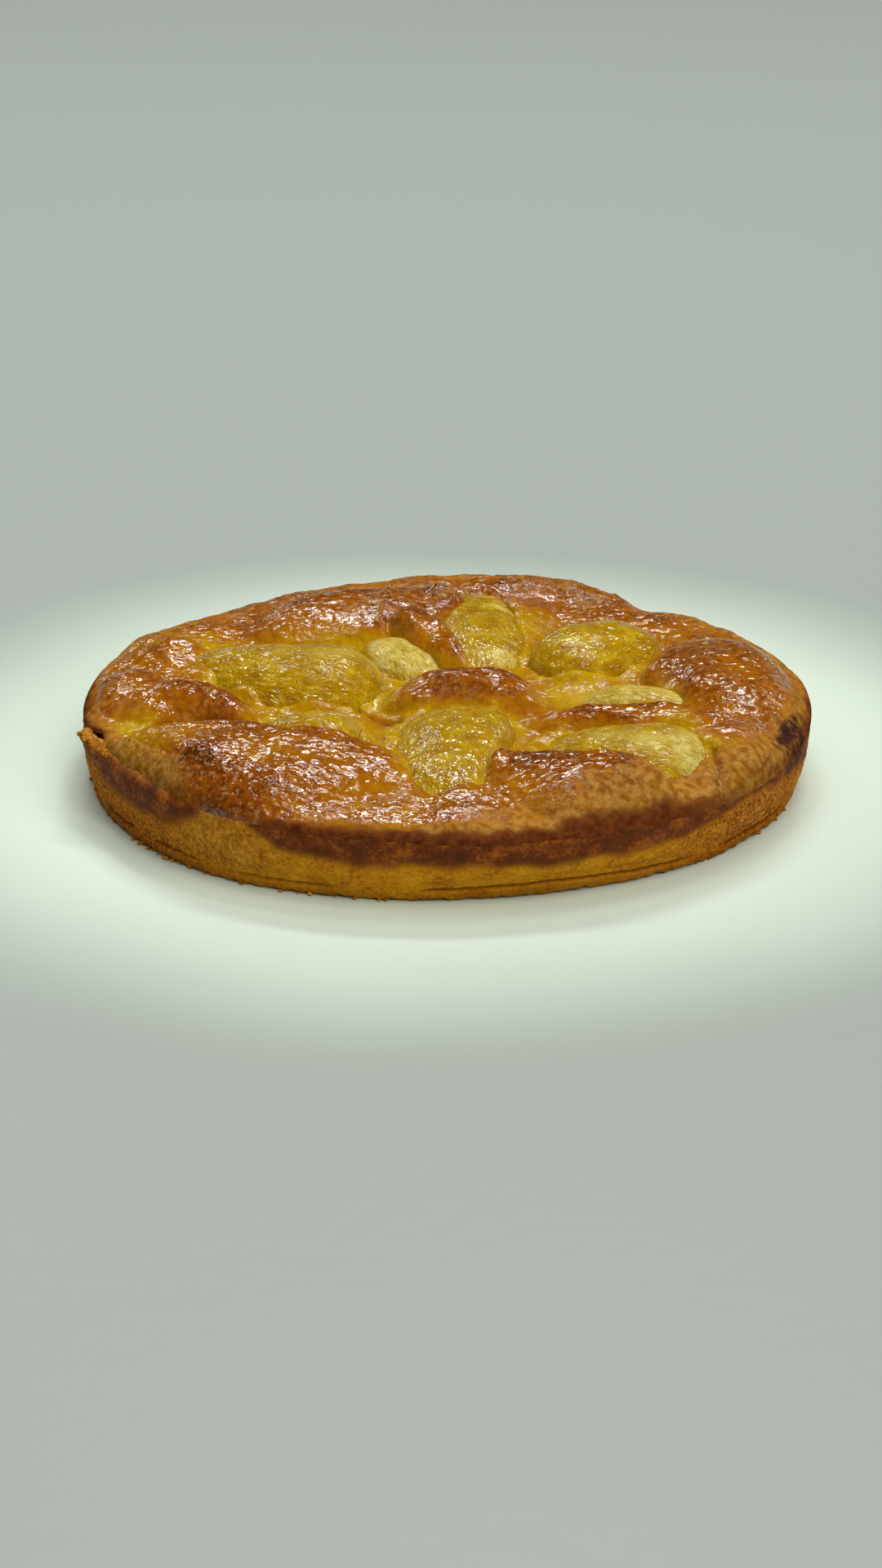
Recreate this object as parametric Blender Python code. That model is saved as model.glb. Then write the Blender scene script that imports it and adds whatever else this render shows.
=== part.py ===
"""Pear tart, 240 mm across: a shortcrust case, a puffed sponge filling and eight baked pear halves.

Blender 4.5, metres, +Z up. The tart stands on z = 0 with its middle over the origin, and its front faces
-Y. Angles run anticlockwise from +X, seen from above.
"""

import bpy
import numpy as np
from mathutils import noise

# ---------------------------------------------------------------- driving dimensions

RIM_RADIUS = 0.1196  # where the wall meets the top
BASE_RADIUS = 0.1122  # foot of the sloping wall
EDGE_HEIGHT = 0.0222  # height of the wall's top edge
SHOULDER = 0.0150  # how far in from the edge the sponge's rounded shoulder reaches
FLOOR_LEVEL = 0.0262  # level of the sponge between the pears
CROWN_HEIGHT = 0.0285  # its level near the rim
CROWN_START = 0.0700  # where it begins to rise from one to the other
CROWN_RUN = 0.0300
MOUND_FOOT = 0.0235  # level that a mound's sides fall to
POCKET_EDGE = 0.0080  # width of the rolled edge of sponge beside a pear
BLEND = 0.0012  # softness of the valley where two mounds meet

WALL_SWELL = 0.0012  # how far the wall bulges at half height
WALL_CURVE = 0.85  # under 1, the wall leans out more near its foot
CASE_THICKNESS = 0.0035
CASE_FLOOR = 0.0040
CASE_BEND = 0.0010  # height over the floor where the wall's inner face begins
CASE_EDGE = 0.0011  # rounding of the wall's top
CASE_FOLD = 0.0042  # height of the fold line round the foot
FOLD_HALF = 0.0009  # half its width
FOLD_DEPTH = 0.0008
FOOT_EDGE = 0.0009  # rounding of the foot
OVERLAP = 0.0010  # how far inside the wall's outer face the sponge's edge lies
GAP = 0.0003  # air between pieces that touch
EDGE_FACE = 0.0006  # height of the sponge's outer edge

# Local changes round the tart: angle, half width in degrees, size.
LIP = (-162.0, 4.2, 0.0028)  # the torn lip of the case that stands above the sponge
LIP_LEAN = (-162.0, 4.5, 0.0048)  # how far it leans out
LIP_GAP = (-162.0, 5.0, 0.0030)  # how far the sponge stands back behind it
BARE_RIM = (-146.0, 13.0, 0.0032)  # where the wall's top shows beside the sponge
DENTS = [(51.0, 7.0, -0.0050), (131.0, 11.0, -0.0030)]  # where the outline draws in
FOOT_DENT = (-152.0, 20.0, -0.0026)  # where the foot does
RISES = [(52.0, 9.0, -0.0030), (119.0, 14.0, -0.0036), (-140.0, 36.0, 0.0028), (160.0, 18.0, -0.0012)]

AROUND = 100  # facets round the case
TOP_CELLS = 44  # cells across the sponge's top
PEAR_RINGS = 12
PEAR_SEGMENTS = 10

PEAR_NECK = 0.75  # where a pear's half width has fallen to that of its stem end, from -1 to 1 along it
PEAR_SHOULDER = -0.50  # where it begins to fall
PEAR_BULGE = 0.8  # under 1, the flanks are fuller than a half round
MOUND_SQUARE = 2.3  # 2 is an ellipse in plan, more is squarer

# Each pear half: its bulb end and its stem end in plan, half width of bulb and of stem, height of the
# crest over the table at the bulb and at the stem, and height of the cut face that it lies on.
PEARS = {
    "pear_half_front": ((0.0042, -0.0170), (-0.0025, -0.1060), 0.0228, 0.0165, 0.0385, 0.0325, 0.0170),
    "pear_half_front_right": ((0.0865, -0.0695), (0.0265, -0.0510), 0.0218, 0.0125, 0.0387, 0.0335, 0.0165),
    "pear_half_right": ((0.0430, -0.0110), (0.0960, -0.0210), 0.0110, 0.0075, 0.0355, 0.0315, 0.0200),
    "pear_half_back_right": ((0.0320, 0.0120), (0.0740, 0.0490), 0.0190, 0.0150, 0.0400, 0.0370, 0.0180),
    "pear_half_back": ((0.0140, 0.0090), (0.0100, 0.0950), 0.0165, 0.0160, 0.0365, 0.0365, 0.0190),
    "pear_half_back_left": ((-0.0064, 0.0030), (-0.0250, 0.0472), 0.0125, 0.0112, 0.0355, 0.0340, 0.0200),
    "pear_half_left": ((-0.0200, -0.0105), (-0.0970, 0.0260), 0.0235, 0.0120, 0.0425, 0.0325, 0.0180),
    "pear_half_front_left": ((-0.0232, -0.0450), (-0.067, -0.037), 0.0145, 0.012, 0.0365, 0.033, 0.018),
}

# How far a pear's crest lies to its left of the middle, as a share of its half width.
LEANS = {
    "pear_half_front": 0.30, "pear_half_front_right": -0.20,
    "pear_half_back_right": 0.25, "pear_half_left": -0.25,
}

# Each mound of puffed sponge: a place on its ridge, half length, width before and behind the ridge, turn
# of the ridge in degrees, height of its top.
MOUNDS = {
    "front_left": ((-0.0585, -0.0610), 0.0540, 0.0440, 0.0110, -12, 0.0393),
    "front_right": ((0.0460, -0.0830), 0.0340, 0.0310, 0.0085, -20, 0.0385),
    "left": ((-0.0990, -0.0100), 0.0260, 0.0190, 0.0150, -50, 0.0360),
    "left_tip": ((-0.0820, -0.0190), 0.0260, 0.0120, 0.0085, -33, 0.0375),
    "left_rim": ((-0.0950, 0.0300), 0.0400, 0.0150, 0.0150, 112, 0.0320),
    "middle": ((0.0065, -0.0100), 0.0290, 0.0170, 0.0075, 8, 0.0395),
    "ridge": ((0.0660, -0.0360), 0.0440, 0.0120, 0.0070, -5, 0.0370),
    "right": ((0.0930, 0.0000), 0.0450, 0.0250, 0.0250, 102, 0.0395),
    "right_front": ((0.0960, -0.0560), 0.0300, 0.0180, 0.0180, -60, 0.0345),
    "back_left": ((-0.0300, 0.0640), 0.0430, 0.0230, 0.0220, 20, 0.0395),
    "back_inner": ((-0.0080, 0.0420), 0.0330, 0.0090, 0.0100, -66, 0.0390),
    "back_rim": ((0.0300, 0.1000), 0.0600, 0.0150, 0.0150, -8, 0.0325),
    "back_gap": ((0.0300, 0.0720), 0.0340, 0.0110, 0.0110, 85, 0.0305),
}
STRAY = (0.0035, 0.0025)  # how far the mounds' outlines stray from these in x and y
STRAY_SIZE = 0.0170  # size of the lumps by which they do

# ---------------------------------------------------------------- outlines


def around_bump(angle, bump):
    """Rise of a bump placed round the tart: full at its own angle, nothing far from it."""
    middle, half_width, rise = bump
    off = (np.degrees(angle) - middle + 180) % 360 - 180
    return rise * np.exp(-((off / half_width) ** 2))


def wave(angle, *terms):
    """Sum of waves round the tart, each given as its number, height and turn in degrees."""
    return sum(height * np.cos(count * angle + np.radians(turn)) for count, height, turn in terms)


def rim_radius(angle):
    """Radius of the wall's top edge: nearly round, as a soft tart is once it has left its tin."""
    dents = sum(around_bump(angle, dent) for dent in DENTS)
    return RIM_RADIUS + dents + wave(angle, (2, 0.0010, 0), (3, 0.0007, 34), (5, 0.0004, -63))


def base_radius(angle):
    """Radius of the foot, longer from left to right than from front to back."""
    dent = around_bump(angle, FOOT_DENT)
    return BASE_RADIUS + dent + wave(angle, (1, 0.0014, 139), (2, 0.0041, -19), (3, 0.0017, 73))


def edge_height(angle):
    """Height of the wall's top edge: highest at the front left."""
    rises = sum(around_bump(angle, rise) for rise in RISES)
    return EDGE_HEIGHT + rises + wave(angle, (4, 0.0006, 0), (7, 0.0003, 40))


def case_top(angle):
    """Height of the case's top edge, under the sponge's shoulder but for the lip."""
    return edge_height(angle) + around_bump(angle, LIP)


def wall_radius(angle, height):
    """Radius of the wall's outer face at a height, where the lip doesn't bend it."""
    share = np.clip(height / edge_height(angle), 0, 1)
    foot = base_radius(angle)
    return foot + (rim_radius(angle) - foot) * share**WALL_CURVE + WALL_SWELL * np.sin(np.pi * share)


def sponge_edge(angle):
    """Radius of the sponge's outer edge, on the case's wall or, behind the lip, inside it."""
    return rim_radius(angle) - OVERLAP - around_bump(angle, LIP_GAP) - around_bump(angle, BARE_RIM)


# ---------------------------------------------------------------- pears in plan


def pear_half_width(along, pear):
    """Half width of a pear half at a place along it, from -1 at its bulb end to 1 at its stem end."""
    bulb, stem = pear[2:4]
    swell = np.clip((PEAR_NECK - along) / (PEAR_NECK - PEAR_SHOULDER), 0, 1)
    width = stem + (bulb - stem) * swell * swell * (3 - 2 * swell)
    return width * np.clip(1 - np.abs(along) ** 2.6, 0, 1) ** 0.45


def to_pear(x, y, pear):
    """Places in a pear's own plan: -1 to 1 along it towards the stem, and metres to its left."""
    (bx, by), (sx, sy) = pear[:2]
    half_x, half_y = (sx - bx) / 2, (sy - by) / 2
    half_length = np.hypot(half_x, half_y)
    dx, dy = x - (bx + sx) / 2, y - (by + sy) / 2
    along = (dx * half_x + dy * half_y) / half_length**2
    return along, (dy * half_x - dx * half_y) / half_length, half_length


def pear_distance(x, y, pear):
    """Distance in plan outside a pear's outline, negative inside it."""
    along, across, half_length = to_pear(x, y, pear)
    steps = -np.cos(np.linspace(0, np.pi, 25))
    half = pear_half_width(steps, pear)
    nearest = np.full(np.shape(along), np.inf)
    for n in range(len(steps) - 1):
        ax, ay, bx, by = steps[n] * half_length, half[n], steps[n + 1] * half_length, half[n + 1]
        ex, ey = bx - ax, by - ay
        px, py = along * half_length - ax, np.abs(across) - ay
        t = np.clip((px * ex + py * ey) / (ex * ex + ey * ey), 0, 1)
        nearest = np.minimum(nearest, np.hypot(px - t * ex, py - t * ey))
    inside = (np.abs(along) < 1) & (np.abs(across) < np.interp(along, steps, half))
    return np.where(inside, -nearest, nearest)


# ---------------------------------------------------------------- height of the sponge


def smooth_max(a, b):
    return (a + b + np.sqrt((a - b) ** 2 + BLEND**2)) / 2


def lumps(points, size, seed):
    """Soft lumps of a given size, from about -1 to 1, at an array of points."""
    away = 37.7 * seed + 11.3
    return np.array([noise.noise(spot) for spot in (points / size + away).tolist()])


def mound_height(x, y, mound):
    """Height of one mound: a dome that falls off gently before its ridge and steeply behind it."""
    (cx, cy), half_length, before, behind, turn, top = mound
    turn = np.radians(turn)
    u = np.abs((x - cx) * np.cos(turn) + (y - cy) * np.sin(turn)) / half_length
    v = (y - cy) * np.cos(turn) - (x - cx) * np.sin(turn)
    v = np.where(v > 0, v / behind, -v / before)
    out = (u**MOUND_SQUARE + v**MOUND_SQUARE) ** (1 / MOUND_SQUARE)
    return MOUND_FOOT + (top - MOUND_FOOT) * np.clip(1 - out**2.4, 0, 1) ** 0.55


def sponge_height(x, y):
    """Height of the sponge's top over the table, at a place inside its edge."""
    angle, radius = np.arctan2(y, x), np.hypot(x, y)
    rolled = 1
    for pear in PEARS.values():
        away = np.clip(pear_distance(x, y, pear) / POCKET_EDGE + 0.1, 0, 1)
        rolled = rolled * np.sqrt(1 - (1 - away) ** 2)
    rise = np.clip((radius - CROWN_START) / CROWN_RUN, 0, 1)
    height = FLOOR_LEVEL + (CROWN_HEIGHT - FLOOR_LEVEL) * rise * rise * (3 - 2 * rise) * rolled
    flat = np.stack([x, y, 0 * x], axis=1)
    x = x + STRAY[0] * lumps(flat, STRAY_SIZE, 31)
    y = y + STRAY[1] * lumps(flat, STRAY_SIZE, 32)
    for mound in MOUNDS.values():
        height = smooth_max(height, mound_height(x, y, mound))
    inset = np.clip((sponge_edge(angle) - radius) / SHOULDER, 0, 1)
    shoulder = np.sqrt(1 - (1 - inset) ** 2)
    edge = case_top(angle) + GAP + EDGE_FACE
    return edge + (height - edge) * shoulder


# ---------------------------------------------------------------- meshes


def material(name, colour, roughness):
    made = bpy.data.materials.new(name)
    made.use_nodes = True
    shader = made.node_tree.nodes["Principled BSDF"]
    shader.inputs["Base Color"].default_value = (*colour, 1)
    shader.inputs["Roughness"].default_value = roughness
    shader.inputs["Metallic"].default_value = 0.0
    return made


def add_object(name, points, faces, surface):
    mesh = bpy.data.meshes.new(name)
    mesh.from_pydata([tuple(p) for p in points], [], faces)
    mesh.materials.append(surface)
    mesh.shade_smooth()
    made = bpy.data.objects.new(name, mesh)
    bpy.context.scene.collection.objects.link(made)
    return made


def ring(angle, radius, height):
    return np.stack([radius * np.cos(angle), radius * np.sin(angle), height + 0 * angle], axis=1)


def joined(loops):
    """Quads between loops of point numbers, each loop lying under or inside the one before."""
    faces = []
    for upper, lower in zip(loops, loops[1:]):
        for k in range(len(upper)):
            after = (k + 1) % len(upper)
            faces.append((upper[k], lower[k], lower[after], upper[after]))
    return faces


def case_radius(angle, height):
    """Radius of the case's outer face: the wall's own, leaning out at the lip."""
    share = np.clip(height / case_top(angle), 0, 1)
    return wall_radius(angle, height) + around_bump(angle, LIP_LEAN) * share**4


def case_hollow(angle, clear=0.0):
    """Rings down the case's inner face to the middle of its floor, or standing clear of it inside."""
    thick, foot = CASE_THICKNESS, base_radius(angle)
    low, corner = edge_height(angle) * 0.6, CASE_FLOOR + CASE_BEND
    return [
        ring(angle, wall_radius(angle, low) - 1.1 * thick - clear, low),
        ring(angle, wall_radius(angle, corner) - 1.2 * thick - clear, corner + clear),
        ring(angle, foot - 2 * thick - clear, CASE_FLOOR + clear),
        ring(angle, foot / 2, CASE_FLOOR + clear),
    ]


def make_case(surface):
    """The shortcrust case: a floor and a sloping wall that was pressed into a tin by hand."""
    angle = np.linspace(-np.pi, np.pi, AROUND, endpoint=False)
    top = case_top(angle)
    thick = CASE_THICKNESS
    # Down the outer face, each ring's height and how far it lies inside the plain wall.
    outer = [(top, thick / 2), (top - CASE_EDGE / 4, thick / 4), (top - CASE_EDGE, 0), (top * 0.8, 0)]
    outer += [(top * 0.5, 0), (CASE_FOLD + FOLD_HALF, 0), (CASE_FOLD, FOLD_DEPTH)]
    outer += [(CASE_FOLD - FOLD_HALF, 0), (FOOT_EDGE, 0), (0, FOOT_EDGE)]
    outer = [ring(angle, case_radius(angle, h) - inside, h) for h, inside in outer]
    outer.append(ring(angle, base_radius(angle) / 2, 0))
    inner = [ring(angle, case_radius(angle, top) - thick, top - CASE_EDGE / 2)] + case_hollow(angle)
    loops = np.arange(len(outer + inner) * AROUND).reshape(-1, AROUND)
    under, over = loops.size, loops.size + 1
    faces = joined(loops[: len(outer)]) + joined([*loops[len(outer) :][::-1], loops[0]])
    for k in range(AROUND):
        faces.append((loops[len(outer) - 1][k], loops[len(outer) - 1][k - 1], under))
        faces.append((loops[-1][k - 1], loops[-1][k], over))
    points = np.concatenate(outer + inner + [[(0, 0, 0), (0, 0, CASE_FLOOR)]])
    return add_object("pastry_case", points, faces, surface)


def disc_grid(cells):
    """A square grid bent onto the unit disc: its points, its quads and the points on its edge in order."""
    line = np.linspace(-1, 1, cells + 1)
    a, b = np.meshgrid(line, line, indexing="ij")
    lead = np.maximum(np.abs(a), np.abs(b))
    length = np.maximum(np.hypot(a, b), 1e-9)
    disc = np.stack([a, b], axis=-1) * (lead / length)[..., None]
    index = np.arange((cells + 1) ** 2).reshape(cells + 1, cells + 1)
    quads = np.stack([index[:-1, :-1], index[1:, :-1], index[1:, 1:], index[:-1, 1:]], axis=-1)
    edge = np.concatenate([index[:-1, 0], index[-1, :-1], index[:0:-1, -1], index[0, :0:-1]])
    return disc.reshape(-1, 2), quads.reshape(-1, 4).tolist(), edge


def make_sponge(surface):
    """The sponge: puffed on top, its shoulder resting on the case's wall, the rest filling the case."""
    disc, faces, edge = disc_grid(TOP_CELLS)
    spread = np.hypot(disc[:, 0], disc[:, 1])
    angle = np.arctan2(disc[:, 1], disc[:, 0])
    radius = sponge_edge(angle) * np.sqrt(np.sin(spread * np.pi / 2) * spread)  # finer near the edge
    x, y = radius * np.cos(angle), radius * np.sin(angle)
    top = np.stack([x, y, sponge_height(x, y)], axis=1)

    angle = angle[edge]
    rest = case_top(angle) + GAP
    brim = sponge_edge(angle) - EDGE_FACE / 3
    inner = np.minimum(brim - EDGE_FACE, wall_radius(angle, rest) - CASE_THICKNESS - GAP)
    rings = [ring(angle, brim, rest), ring(angle, inner, rest)] + case_hollow(angle, GAP)
    loops = [edge] + list(len(top) + np.arange(len(rings) * len(edge)).reshape(len(rings), -1))
    faces += joined(loops)
    under = len(top) + len(rings) * len(edge)
    for k in range(len(edge)):
        faces.append((loops[-1][k - 1], under, loops[-1][k]))
    points = np.concatenate([top] + rings + [[(0, 0, CASE_FLOOR + GAP)]])
    return add_object("sponge_filling", points, faces, surface)


def pear_mesh(pear, lean, grow=0.0):
    """Points and faces of a pear half lying on its cut face, larger by grow on every side."""
    (bx, by), (sx, sy) = pear[:2]
    bulb_crest, stem_crest, cut = pear[4:]
    length = np.hypot(sx - bx, sy - by)
    ahead = np.array([(sx - bx) / length, (sy - by) / length])
    left = np.array([-ahead[1], ahead[0]])
    middle = np.array([(bx + sx) / 2, (by + sy) / 2])
    around = np.linspace(0, np.pi, PEAR_SEGMENTS + 1)
    wide = np.sign(np.cos(around)) * np.abs(np.cos(around)) ** PEAR_BULGE
    wide = wide + lean * (1 - wide**2)
    tall = np.sin(around) ** PEAR_BULGE
    points = []
    for along in -np.cos(np.linspace(0, np.pi, PEAR_RINGS + 2))[1:-1]:
        half = pear_half_width(along, pear)
        crest = bulb_crest + (stem_crest - bulb_crest) * (along - PEAR_SHOULDER) / (1 - PEAR_SHOULDER)
        height = (crest - cut) * np.sqrt(1 - np.abs(along) ** 3.2)
        place = middle + ahead * along * (length / 2 + grow)
        for w, t in zip(wide, tall):
            points.append((*(place + left * w * (half + grow)), cut - grow + t * (height + 2 * grow)))
    for end in (-1, 1):
        points.append((*(middle + ahead * end * (length / 2 + grow)), cut - grow / 2))
    row = PEAR_SEGMENTS + 1
    bulb, stem = PEAR_RINGS * row, PEAR_RINGS * row + 1
    last = (PEAR_RINGS - 1) * row
    faces = []
    for n in range(PEAR_RINGS - 1):
        for k in range(row):
            a, b = n * row + k, n * row + (k + 1) % row
            faces.append((a, b, b + row, a + row))
    for k in range(row):
        faces.append((bulb, (k + 1) % row, k))
        faces.append((stem, last + k, last + (k + 1) % row))
    return points, faces


def make_pears(surface):
    """The pear halves, and a slightly larger cutter for each, which makes its seat in the sponge."""
    seats = bpy.data.collections.new("pear_seats")
    for name, pear in PEARS.items():
        lean = LEANS.get(name, 0)
        add_object(name, *pear_mesh(pear, lean), surface)
        cutter = add_object("seat_of_" + name, *pear_mesh(pear, lean, GAP), surface)
        bpy.context.scene.collection.objects.unlink(cutter)
        seats.objects.link(cutter)
        cutter.hide_render = True
        cutter.display_type = "WIRE"
    bpy.context.scene.collection.children.link(seats)
    return seats


def main():
    for old in list(bpy.data.objects):
        bpy.data.objects.remove(old)
    crust = material("baked_shortcrust", (0.45, 0.20, 0.035), 0.75)
    crumb = material("glazed_sponge", (0.42, 0.13, 0.012), 0.3)
    flesh = material("glazed_pear", (0.55, 0.38, 0.05), 0.2)
    make_case(crust)
    sponge = make_sponge(crumb)
    cut = sponge.modifiers.new("pear_seats", "BOOLEAN")
    cut.operation = "DIFFERENCE"
    cut.operand_type = "COLLECTION"
    cut.collection = make_pears(flesh)
    cut.solver = "EXACT"


main()
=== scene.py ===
import bmesh
import bpy
import numpy as np
from mathutils import Matrix, Vector, noise


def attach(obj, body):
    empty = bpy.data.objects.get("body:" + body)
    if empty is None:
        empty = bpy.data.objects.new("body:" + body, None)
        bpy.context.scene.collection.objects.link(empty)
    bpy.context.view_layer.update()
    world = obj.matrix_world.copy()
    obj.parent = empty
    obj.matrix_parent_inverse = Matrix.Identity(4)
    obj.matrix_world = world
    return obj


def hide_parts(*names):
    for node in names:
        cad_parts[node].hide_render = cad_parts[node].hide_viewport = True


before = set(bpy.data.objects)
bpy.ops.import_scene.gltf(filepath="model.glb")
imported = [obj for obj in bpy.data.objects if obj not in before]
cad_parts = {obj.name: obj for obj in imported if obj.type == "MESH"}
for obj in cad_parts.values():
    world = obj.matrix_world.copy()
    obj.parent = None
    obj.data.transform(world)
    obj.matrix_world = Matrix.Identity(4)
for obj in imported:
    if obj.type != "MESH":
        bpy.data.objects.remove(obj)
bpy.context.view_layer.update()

# ================================================================ pastry case
# A low round case of sweet shortcrust, pressed by hand into a tin with sloping sides and baked with
# its filling. The wall is sandy and golden with a folded foot, and dark brown along its top edge.

RIM_RADIUS = 0.1196  # where the wall meets the top
BASE_RADIUS = 0.1122  # foot of the sloping wall
EDGE_HEIGHT = 0.0222  # height of the wall's top edge
WALL_SWELL = 0.0012  # how far the wall bulges at half height
WALL_CURVE = 0.85  # under 1, the wall leans out more near its foot
CASE_THICKNESS = 0.0035
CASE_FLOOR = 0.0040
CASE_BEND = 0.0010  # height over the floor where the wall's inner face begins
CASE_EDGE = 0.0011  # rounding of the wall's top
FOOT_EDGE = 0.0009  # rounding of the foot
CASE_FOLD = 0.0042  # height of the fold line round the foot
FOLD_HALF = 0.0005
FOLD_DEPTH = 0.0012
FOLD_FACE = 0.0060  # height of the wall that is drawn in over the fold
FOLD_FACE_DEPTH = 0.0009
FOLD_FACE_FADES = (0.0008, 0.0040)  # heights over which that begins and ends
FOLD_WAVES = ((5, 0.0005, 20), (11, 0.0003, 70))  # how the fold line waves
FOLD_LUMPS = (0.0300, 4)  # size and seed of the lumps that break it off here and there
FOOT_FADE = 0.0006  # height under it over which the foot browns
FOOT_LUMPS = (0.0026, 8)
FOOT_RAGGED = 0.0011  # how far the foot's torn edge stands in and out
FOOT_TORN = 0.0022  # height of that edge
TOP_CROWN = 0.0016  # how far the wall's open top is crowned
BAND_DEPTH = 0.0092  # how far down from the top edge the crust is baked dark
BAND_FADE = 0.0034  # half the height of that band's soft lower edge
BURN_DEPTH = 0.0045  # how far down from the top edge the crust is scorched
BURN_FADE = 0.0030
PALE_LIP_DEPTH = 0.0030  # how far down from the lip's top its crumb shows
PALE_WALL_START = 0.0050  # height over which the wall's outside pales
PALE_WALL_FADE = 0.0040
CRUMB_FADE = 0.0040  # height over which crumbly crust ends under the band

# Local changes round the tart: angle and half width in degrees, size. The front is at -90.
LIP = (-162.0, 4.2, 0.0028)  # the torn lip of the case that stands above the sponge
LIP_LEAN = (-162.0, 4.5, 0.0048)  # how far it leans out
LIP_GAP = (-162.0, 3.2, 0.0026)  # how far the sponge stands back behind it
BARE_RIM = (-146.0, 13.0, 0.0032)  # where the wall's top shows beside the sponge
DENTS = [(51.0, 7.0, -0.0050), (131.0, 11.0, -0.0030)]  # where the outline draws in
FOOT_DENT = (-152.0, 20.0, -0.0026)  # where the foot does
RISES = [(52.0, 9.0, -0.0030), (119.0, 14.0, -0.0036), (-140.0, 36.0, 0.0028), (160.0, 18.0, -0.0012)]
BREAK = (-125.0, 6.5, -0.0120)  # where the wall stays golden up to the top
BAND_CHANGES = [BREAK, (-178.0, 14.0, -0.0050), (-34.0, 15.0, -0.0055), (75.0, 12.0, -0.0050)]

# The same with a share in place of the size; one over 1 is cut off to a level top.
TORN = (-162.0, 9.0, 1.0)  # how far the ragged tearing reaches from the lip
OPEN_TOP = (-146.0, 16.0, 1.6)  # where no sponge covers the wall's top
CRUMBLY = [(-152.0, 20.0, 1.0), (-32.0, 18.0, 0.9), (60.0, 30.0, 0.6), (150.0, 26.0, 0.7)]
BURNS = [(-20.0, 7.5, 0.8), (-141.0, 4.0, 0.6)]
BARE_CRUMB = (-159.0, 6.0, 1.0)  # where torn crust shows its crumb
BAKED_AGAIN = (-146.0, 9.0, 0.5)  # where the crust is whole again beside it
PALE_TOP = (-146.0, 10.0, 0.45)
PALE_WALL = [(-125.0, 9.0, 0.4), (-34.0, 14.0, 0.4)]

# Layers of soft lumps: height, size, seed. Two bend the band's edge and the rest roughen the crust.
BAND_LINE = [(0.0016, 0.0180, 7)]
BAND_SPOTS = [(0.0016, 0.0080, 9)]
TORN_EDGE = [(0.0016, 0.0019, 5)]
TOP_EDGE = [(0.0002, 0.004, 6)]
WALL_LUMPS = [(0.0005, 0.022, 1), (0.00025, 0.006, 2), (0.0001, 0.0021, 3)]
SANDY_LUMPS = [(0.0004, 0.0021, 3), (0.0003, 0.0011, 4)]  # where the crust is crumbly
TORN_LUMPS = [(0.0009, 0.0024, 10)]
BARE_LUMPS = [(0.0010, 0.0032, 11)]
BARE_SWELL = 0.0006  # how far bare crumb stands up between its lumps

WALL_COLUMNS = 900
WALL_ROWS = 46
RIM_ROWS = 5


def around_bump(angle, bump):
    """Rise of a bump placed round the tart: full at its own angle, nothing far from it."""
    middle, half_width, rise = bump
    off = (np.degrees(angle) - middle + 180) % 360 - 180
    return rise * np.exp(-((off / half_width) ** 2))


def bumps(angle, places):
    return sum(around_bump(angle, place) for place in places)


def wave(angle, *terms):
    """Sum of waves round the tart, each given as its number, height and turn in degrees."""
    return sum(height * np.cos(count * angle + np.radians(turn)) for count, height, turn in terms)


def smooth(share):
    """From 0 to 1 with level ends, as share goes from 0 to 1."""
    share = np.clip(share, 0, 1)
    return share * share * (3 - 2 * share)


def ramp(value, start, run):
    """0 up to a start and 1 from a run further on, with a soft rise between."""
    return smooth((value - start) / run)


def lumps(points, size, seed=0):
    """Soft lumps of a given size, from about -1 to 1, at an array of points."""
    away = 37.7 * seed + 11.3
    return np.array([noise.noise(spot) for spot in (points / size + away).tolist()])


def layers(points, places):
    """Sum of layers of soft lumps, each given as its height, size and seed."""
    return sum(height * lumps(points, size, seed) for height, size, seed in places)


def wrinkles(points, size, seed):
    """Narrow ridges between hollows of a given size, from -1 to 1."""
    return np.clip(1 - np.abs(lumps(points, size, seed)) * 3, -1, 1)


def rim_radius(angle):
    return RIM_RADIUS + bumps(angle, DENTS) + wave(angle, (2, 0.0010, 0), (3, 0.0007, 34), (5, 0.0004, -63))


def base_radius(angle):
    dent = around_bump(angle, FOOT_DENT)
    return BASE_RADIUS + dent + wave(angle, (1, 0.0014, 139), (2, 0.0041, -19), (3, 0.0017, 73))


def edge_height(angle):
    return EDGE_HEIGHT + bumps(angle, RISES) + wave(angle, (4, 0.0006, 0), (7, 0.0003, 40))


def case_top(angle):
    return edge_height(angle) + around_bump(angle, LIP)


def wall_radius(angle, height):
    share = np.clip(height / edge_height(angle), 0, 1)
    foot = base_radius(angle)
    return foot + (rim_radius(angle) - foot) * share**WALL_CURVE + WALL_SWELL * np.sin(np.pi * share)


def case_radius(angle, height):
    """Radius of the case's outer face: the wall's own, leaning out at the lip."""
    share = np.clip(height / case_top(angle), 0, 1)
    return wall_radius(angle, height) + around_bump(angle, LIP_LEAN) * share**4


def ring(angle, radius, height):
    """Points on a ring round the tart's middle, one at each angle."""
    return np.stack([radius * np.cos(angle), radius * np.sin(angle), height + 0 * angle], axis=1)


def case_hollow(angle, clear=0.0):
    """Rings down the case's inner face to the middle of its floor, or standing clear of it inside."""
    thick, foot = CASE_THICKNESS, base_radius(angle)
    low, corner = edge_height(angle) * 0.6, CASE_FLOOR + CASE_BEND
    return [
        ring(angle, wall_radius(angle, low) - 1.1 * thick - clear, low),
        ring(angle, wall_radius(angle, corner) - 1.2 * thick - clear, corner + clear),
        ring(angle, foot - 2 * thick - clear, CASE_FLOOR + clear),
        ring(angle, foot / 2, CASE_FLOOR + clear),
    ]


def joined(loops):
    """Quads between loops of point numbers, each loop lying under or inside the one before."""
    faces = []
    for upper, lower in zip(loops, loops[1:]):
        upper, lower = np.asarray(upper), np.asarray(lower)
        after = np.roll(np.arange(len(upper)), -1)
        faces += np.stack([upper, lower, lower[after], upper[after]], axis=1).tolist()
    return faces


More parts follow.
